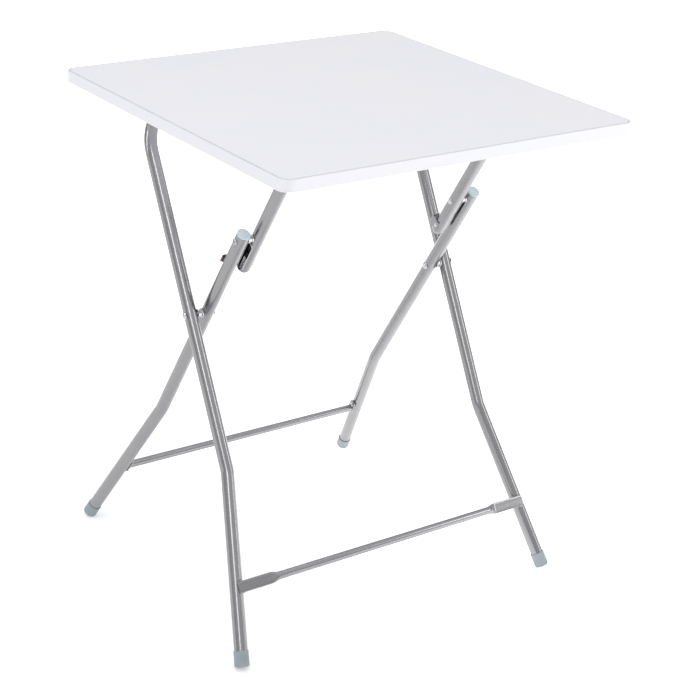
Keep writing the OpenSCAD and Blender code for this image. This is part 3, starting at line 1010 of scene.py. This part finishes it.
# %% Outline with holes to a bevelled solid
def flat_part(name, outlines, thickness, bevel, place):
    """Fills the outlines (the later ones are holes), thickens them about z = 0."""
    curve = bpy.data.curves.new(name, "CURVE")
    curve.dimensions = "2D"
    curve.fill_mode = "BOTH"
    curve.bevel_depth, curve.bevel_resolution = bevel, 2
    curve.offset = -bevel
    curve.extrude = thickness / 2 - bevel
    for outline_points in outlines:
        spline = curve.splines.new("POLY")
        spline.points.add(len(outline_points) - 1)
        for point, (x, y) in zip(spline.points, outline_points):
            point.co = (x, y, 0, 1)
        spline.use_cyclic_u = True
    carrier = new_object("carrier", curve)
    mesh = baked(carrier)
    bpy.data.objects.remove(carrier)
    build = bmesh.new()
    build.from_mesh(mesh)
    bmesh.ops.remove_doubles(build, verts=build.verts, dist=1e-6)
    bmesh.ops.recalc_face_normals(build, faces=build.faces)
    build.transform(place)
    build.to_mesh(mesh)
    build.free()
    return new_object(name, mesh)


def basis(origin, first, second):
    """Frame whose x and y run along first and second."""
    third = Vector(first).cross(Vector(second))
    turn = Matrix((Vector(first), Vector(second), third)).transposed().to_4x4()
    return Matrix.Translation(origin) @ turn


# %% Rear rail with its two tabs
TAB_WIDTH, TAB_LEN, TAB_RIVET = 14 * MM, 32 * MM, 12.5 * MM
rear_joint = down_leg(inner_up, INNER_Y, INNER_SPLAY_Z, INNER_RAIL_Z)
rear_up = lower_up(inner_up)
rear_front = Vector((inner_up.z, 0, -inner_up.x))
rear_inwards = rear_up.cross(rear_front).normalized()
if rear_inwards.y < 0:
    rear_inwards = -rear_inwards


def rear_tab(name):
    low, high = -TAB_LEN / 3, TAB_LEN * 2 / 3
    half = TAB_WIDTH / 2
    corners = [(-half, low), (half, low), (half, high), (-half, high)]
    shape = rounded(corners, [half * 0.95] * 4, 6)
    centre = rear_joint + rear_inwards * (TUBE_R + FLAT_THICK / 2)
    place = basis(centre, rear_front, rear_up)
    return flat_part(name, [shape], FLAT_THICK, 0.6 * MM, place)


rear_frame = leg_frame(
    inner_up, cross_axis - inner_up * ((cross_axis.z - INNER_RAIL_Z) / inner_up.z)
)
reach = -rear_joint.y - TUBE_R - FLAT_THICK / 2
ends = [rear_frame @ Vector((0, side * reach, 0)) for side in (-1, 1)]
rear_rail = bent_tube("rear_rail", ends, [0, 0], RAIL_R, 40)
near_tab = rear_tab("rear_tab_near")
mark_tube(near_tab.data, rear_frame)
far_tab = far_twin(near_tab, "rear_tab_far")
dress(rear_rail, tube_steel, "inner_legs", "rail_steel", "inner_rail")
for tab in (near_tab, far_tab):
    dress(tab, tube_steel, "inner_legs", "rail_steel")

# %% [markdown]
# ## Screws and rivets
#
# Small heads repeat, so one is modelled and the tree sets it on every point,
# turned to the way each point faces. The screws also get a cross recess, cut
# from the one head before it is repeated.

# %% The fastener tree
head_tree, head_in, head_out = new_tree(
    "Fastener heads",
    [
        ("Head", "Object"),
        ("Recess Width", "Float"),
        ("Recess Length", "Float"),
        ("Recess Height", "Float"),
    ],
)
model = add(head_tree, "ObjectInfo", Object=head_in["Head"])
cutters = []
CUT_DEEP = 3 * MM
along, wide = head_in["Recess Length"], head_in["Recess Width"]
for x, y in ((along, wide), (wide, along)):
    size = add(head_tree, "ShaderNodeCombineXYZ", X=x, Y=y, Z=CUT_DEEP)
    block = add(head_tree, "MeshCube", Size=size)
    lift = add(head_tree, "ShaderNodeCombineXYZ", Z=head_in["Recess Height"])
    cutters.append(add(head_tree, "Transform", Geometry=block, Translation=lift))
cut = add(head_tree, "MeshBoolean", {"operation": "DIFFERENCE"})
head_tree.links.new(model.outputs["Geometry"], cut.inputs[0])
for cutter in cutters:
    head_tree.links.new(cutter.outputs[0], cut.inputs[1])
way = add(head_tree, "InputNamedAttribute", {"data_type": "FLOAT_VECTOR"}, Name="way")
facing = add(
    head_tree,
    "FunctionNodeAlignRotationToVector",
    {"axis": "Z"},
    Vector=way.outputs["Attribute"],
)
placed = add(
    head_tree,
    "InstanceOnPoints",
    Points=head_in["Geometry"],
    Instance=cut,
    Rotation=facing,
)
close_tree(head_tree, placed, head_out)


# %% One helper for every group of fasteners
def fasteners(name, spots, outline_points, recess=0.0):
    """Heads at (place, way) spots; recess is the length of a cross cut in each."""
    mesh = bpy.data.meshes.new("spots")
    mesh.from_pydata([place for place, way in spots], [], [])
    ways = mesh.attributes.new("way", "FLOAT_VECTOR", "POINT")
    ways.data.foreach_set("vector", [c for place, way in spots for c in way])
    model_head = turned("model_head", outline_points, (0, 0, 0), (0, 0, 1), 32)
    top = max(z for r, z in outline_points)
    piece = run_tree(
        name,
        mesh,
        head_tree,
        Head=model_head,
        Recess_Width=recess * 0.22,
        Recess_Length=recess,
        Recess_Height=top + 0.0015 - (0.0012 if recess else -0.01),
    )
    bpy.data.objects.remove(model_head)
    return piece


def head_outline(shank, depth, radius, height):
    start = [(0, -depth), (shank, -depth), (shank, 0), (radius, 0)]
    return start + domed(radius, height, 0.25 * MM, 1)


# %% Screws under the top, and rivets on the tabs
SADDLE_DROP, FLANGE, SCREW_X = 12 * MM, 3.5 * MM, 21 * MM
OUTER_SADDLE_Y, ARM_SADDLE_Y = 115 * MM, 80 * MM
screw_spots = []
for axis, y in ((top_axis, OUTER_SADDLE_Y), (arm_axis, ARM_SADDLE_Y)):
    for side in (-1, 1):
        for x in (-1, 1):
            place = axis + Vector((x * SCREW_X, side * y, SADDLE_DROP - FLANGE))
            screw_spots.append((place, (0, 0, -1)))
screws = fasteners(
    "saddle_screw_set",
    screw_spots,
    head_outline(1.8 * MM, 10 * MM, 3.8 * MM, 1.9 * MM),
    recess=4 * MM,
)
dress(screws, bright_steel, "tabletop", FASTENER, "saddle_screws", corner=40)

tab_face = rear_joint + rear_inwards * (TUBE_R + FLAT_THICK) + rear_up * TAB_RIVET
tab_spots = []
for side in (1, -1):
    flip = Vector((1, side, 1))
    tab_spots.append((tab_face * flip, rear_inwards * flip))
tab_rivets = fasteners(
    "tab_rivet_set", tab_spots, head_outline(2.2 * MM, 4 * MM, 4 * MM, 1.8 * MM)
)
dress(tab_rivets, bright_steel, "inner_legs", FASTENER, "inner_rail_rivets")
print("fasteners:", len(screw_spots), "screws and", len(tab_spots), "rivets")

# %% [markdown]
# ## Support bracket
#
# The bracket's arms keep their exact frame shape, hollow tail and window
# included, and only get the steel finish. Round each window runs a thin
# wire of the brighter fastener steel, along the slot's outline on the tube's
# surface: a painted highlight for the light on the window's cut edge. A coil
# spring sits in each tail.

# %% Arms keep their shape; bright wires, a painted highlight, follow the windows
for node in ("bracket_arm_near", "bracket_arm_far"):
    arm = frame["nodes"][node]
    arm.data.materials.clear()
    arm.data.materials.append(arm_steel)

arm_frame = leg_frame(inner_up, knee)
TAIL, WINDOW_TOP, WINDOW_END, WINDOW_WIDTH = (v * MM for v in (75, 11, 7, 12.5))


def slot_points(half, high, low, steps=14):
    """Round-ended slot in x and z, its arcs' centres at heights high and low."""
    points = []
    for centre, start in ((high, 0.0), (low, math.pi)):
        for k in range(steps + 1):
            t = start + math.pi * k / steps
            points.append((half * math.cos(t), centre + half * math.sin(t)))
    return points


def window_highlight_wire(name):
    half = WINDOW_WIDTH / 2
    high, low = -WINDOW_TOP - half, -TAIL + WINDOW_END + half
    wire = 0.75 * MM
    ring_points = []
    for x, z in slot_points(half, high, low):
        y = -ARM_Y - math.sqrt(TUBE_R**2 - x**2) + 0.15 * MM
        ring_points.append(arm_frame @ Vector((x, y, z)))
    return run_tree(
        name,
        path_mesh(ring_points, closed=True),
        tube_tree,
        Outside_Radius=wire,
        Sides=10,
        Bend_Steps=2,
    )


# The wire is dressed in the brighter fastener steel: a painted highlight along the window's
# edge.
lip_near = window_highlight_wire("window_lip_near")
for lip in (lip_near, far_twin(lip_near, "window_lip_far")):
    dress(lip, bright_steel, BRACKET, "leg_steel")

# %% The coil spring tree
coil_tree, coil_in, coil_out = new_tree(
    "Coil spring",
    [
        ("Turns", "Float"),
        ("Coil Radius", "Float"),
        ("Length", "Float"),
        ("Wire Radius", "Float"),
    ],
)
helix = add(
    coil_tree,
    "CurveSpiral",
    Resolution=20,
    Rotations=coil_in["Turns"],
    Start_Radius=coil_in["Coil Radius"],
    End_Radius=coil_in["Coil Radius"],
    Height=coil_in["Length"],
)
wire_ring = add(
    coil_tree, "CurvePrimitiveCircle", Resolution=12, Radius=coil_in["Wire Radius"]
)
coil = add(
    coil_tree, "CurveToMesh", Curve=helix, Profile_Curve=wire_ring, Fill_Caps=True
)
close_tree(coil_tree, coil, coil_out)


# %% A spring in each tail
def tail_spring(name):
    wire, coil_r, length = 1.0 * MM, 6.2 * MM, 27 * MM
    piece = run_tree(
        name,
        path_mesh([(0, 0, 0), (0, 0, 1)]),
        coil_tree,
        Turns=8.0,
        Coil_Radius=coil_r,
        Length=length,
        Wire_Radius=wire,
    )
    seat = -TAIL + TUBE_R - math.sqrt(BORE_R**2 - (coil_r + wire) ** 2) + wire
    piece.data.transform(arm_frame @ Matrix.Translation((0, -ARM_Y, seat)))
    return piece


both_sides(tail_spring, "tail_spring", bright_steel, BRACKET, FASTENER, "lock_spring")

# %% [markdown]
# ### Stops
#
# A bent plate riveted inside each arm reaches round behind the inner leg and
# carries a rubber pad, a hair short of the leg when the table stands open.

# %% Stop plates, pads and rivets
STOP_REACH, PLATE, PLATE_TOP, PLATE_LEN = (v * MM for v in (15.5, 1.5, 48, 14))
PAD_REACH = 6 * MM
flange_y = -ARM_Y + TUBE_R


def stop_plate(name):
    left, tip = -STOP_REACH, -INNER_Y - PAD_REACH
    corners = [
        (left, tip),
        (left + PLATE, tip),
        (left + PLATE, flange_y),
        (4 * MM, flange_y),
        (4 * MM, flange_y + PLATE),
        (left, flange_y + PLATE),
    ]
    soft = [0.4, 0.4, 1.0, 0.4, 0.4, 2.4]
    shape = rounded(corners, [r * MM for r in soft], 6)
    level = Matrix.Translation((0, 0, -PLATE_TOP - PLATE_LEN / 2))
    return flat_part(name, [shape], PLATE_LEN, 0.3 * MM, arm_frame @ level)


def stop_pad(name):
    left, right = -STOP_REACH + PLATE, -TUBE_R - 0.3 * MM
    low, high = -INNER_Y - PAD_REACH, -INNER_Y + PAD_REACH
    corners = [(left, low), (right, low), (right, high), (left, high)]
    shape = rounded(corners, [0.3 * MM, 2 * MM, 2 * MM, 0.3 * MM], 6)
    level = Matrix.Translation((0, 0, -PLATE_TOP - PLATE_LEN / 2))
    return flat_part(name, [shape], PLATE_LEN - 4 * MM, 1.2 * MM, arm_frame @ level)


both_sides(stop_plate, "stop_angle", plate_steel, BRACKET, "plate_steel", "stop_plate")
both_sides(stop_pad, "stop_cushion", stop_rubber, BRACKET, "stop_rubber", "stop_pad")
stop_spots = []
for side in (-1, 1):
    spot = Vector((0, -side * (flange_y + PLATE), -PLATE_TOP - PLATE_LEN / 2))
    stop_spots.append((arm_frame @ spot, (0, -side, 0)))
stop_rivets = fasteners(
    "stop_rivet_set", stop_spots, head_outline(2 * MM, 3 * MM, 3.6 * MM, 1.2 * MM)
)
dress(stop_rivets, bright_steel, BRACKET, FASTENER, "stop_rivets")

# %% [markdown]
# ## Saddles
#
# Four moulded saddles hold the two crossbars under the board. Each has a
# snug bore, two screw flanges and a cheek on either side that blends into
# them, so its outline is a flat part with one round hole.


# %% Saddle outline and the four saddles
def saddle_outline():
    wrap, flange = TUBE_R + 3.5 * MM, 28 * MM
    top, under = SADDLE_DROP, SADDLE_DROP - FLANGE
    corners = [(-flange, top), (-flange, under), (-wrap, under), (-wrap, 0)]
    for k in range(1, 24):
        t = math.pi + math.pi * k / 24
        corners.append((wrap * math.cos(t), wrap * math.sin(t)))
    corners += [(wrap, 0), (wrap, under), (flange, under), (flange, top)]
    soft = [0.6 * MM, 1.2 * MM, 2.5 * MM] + [0] * 25 + [2.5 * MM, 1.2 * MM, 0.6 * MM]
    return rounded(corners, soft)


SADDLE_LEN = 26 * MM
bore = circle_points(TUBE_R + 0.08 * MM, 56)
for name, axis, y in (
    ("outer_saddle", top_axis, OUTER_SADDLE_Y),
    ("bracket_saddle", arm_axis, ARM_SADDLE_Y),
):

    def make_saddle(n):
        place = basis(axis + Vector((0, -y, 0)), (1, 0, 0), (0, 0, 1))
        return flat_part(n, [saddle_outline(), bore], SADDLE_LEN, 0.7 * MM, place)

    both_sides(
        make_saddle, name + "_block", saddle_grey, "tabletop", "cap_plastic", name
    )

# %% [markdown]
# ## Stage, light and camera
#
# The floor is pale, and its glow rises from the near side to the far side:
# painted light, a brighter floor that the polished tubes reflect. Polished
# tubes show whatever stands round them, so the lighting decides how the steel
# reads: broad soft boxes give the long white streaks, and a darker band of
# surroundings near the horizon gives the grey between them.


# %% Floor, glowing brighter towards its far side as painted light
def flat_floor(size):
    mesh = bpy.data.meshes.new("floor")
    corners = [(-size, -size, 0), (size, -size, 0), (size, size, 0), (-size, size, 0)]
    mesh.from_pydata(corners, [], [(0, 1, 2, 3)])
    return new_object("floor", mesh)


floor_white, tree, shader = new_material(
    "pale_floor", (0.93, 0.93, 0.93), 0.9, Specular_IOR_Level=0.1
)
shader.inputs["Emission Color"].default_value = (1, 1, 1, 1)
across = add(tree, "ShaderNodeSeparateXYZ", Vector=object_place(tree))
# Painted light: the floor's emission rises from 0.2 on the near side to 0.9 on the far side.
painted_floor_glow = spread(tree, across.outputs["Y"], 0.2, 0.9, start=-0.15, end=0.35)
tree.links.new(painted_floor_glow, shader.inputs["Emission Strength"])
tone = noise(tree, object_place(tree), 3, 2)
tree.links.new(
    mix_colors(tree, tone, (0.92, 0.92, 0.92), (0.94, 0.94, 0.94)),
    shader.inputs["Base Color"],
)
floor = flat_floor(30)
floor.data.materials.append(floor_white)

# %% Surroundings: bright overhead, greyer towards the horizon
world = bpy.data.worlds.new("studio")
bpy.context.scene.world = world
world.use_nodes = True
sky = world.node_tree
background = sky.nodes["Background"]
direction = add(sky, "ShaderNodeTexCoord").outputs["Generated"]
split = add(sky, "ShaderNodeSeparateXYZ", Vector=direction)
ramp = add(sky, "ShaderNodeValToRGB", Fac=split.outputs["Z"])
for position, grey in ((0.0, 0.55), (0.25, 0.80), (0.55, 1.0)):
    stop = ramp.color_ramp.elements.new(position)
    stop.color = (grey, grey, grey * 1.02, 1)
ramp.color_ramp.elements.remove(ramp.color_ramp.elements[0])
ramp.color_ramp.elements[-1].color = (1.1, 1.1, 1.12, 1)
sky.links.new(ramp.outputs["Color"], background.inputs["Color"])
background.inputs["Strength"].default_value = 0.85


# %% Soft boxes
def soft_box(name, place, aim, width, height, power):
    data = bpy.data.lights.new(name, "AREA")
    data.shape = "RECTANGLE"
    data.size, data.size_y, data.energy = width, height, power
    back = (Vector(place) - Vector(aim)).normalized()
    turn = back.to_track_quat("Z", "Y").to_matrix().to_4x4()
    new_object(name, data).matrix_world = Matrix.Translation(place) @ turn


middle = (0, 0, 0.45)
soft_box("overhead", (0.2, -0.2, 3.6), middle, 3.2, 3.2, 10)
soft_box("key", (2.6, -2.2, 2.6), middle, 0.8, 2.4, 20)
soft_box("left", (-1.2, -3.2, 1.9), middle, 0.7, 2.4, 16)
soft_box("right", (2.6, 2.9, 1.8), middle, 0.7, 2.4, 16)

# %% Camera
FOCAL, CAMERA = 93.48, (2.0994, -1.5070, 1.4767)
AZIMUTH, ELEVATION, ROLL = (math.radians(a) for a in (53.78, 22.91, 2.96))
lens = bpy.data.cameras.new("camera")
lens.sensor_width, lens.lens = 36, FOCAL
lens.shift_x, lens.shift_y = 0.0077, -0.020
camera = new_object("camera", lens)
back = Vector(
    (
        math.sin(AZIMUTH) * math.cos(ELEVATION),
        -math.cos(AZIMUTH) * math.cos(ELEVATION),
        math.sin(ELEVATION),
    )
)
level_right = Vector((math.cos(AZIMUTH), math.sin(AZIMUTH), 0))
level_up = back.cross(level_right)
right = level_right * math.cos(ROLL) + level_up * math.sin(ROLL)
up = back.cross(right)
turn = Matrix((right, up, back)).transposed().to_4x4()
camera.matrix_world = Matrix.Translation(CAMERA) @ turn
scene = bpy.context.scene
scene.camera = camera
scene.view_settings.view_transform = "Standard"
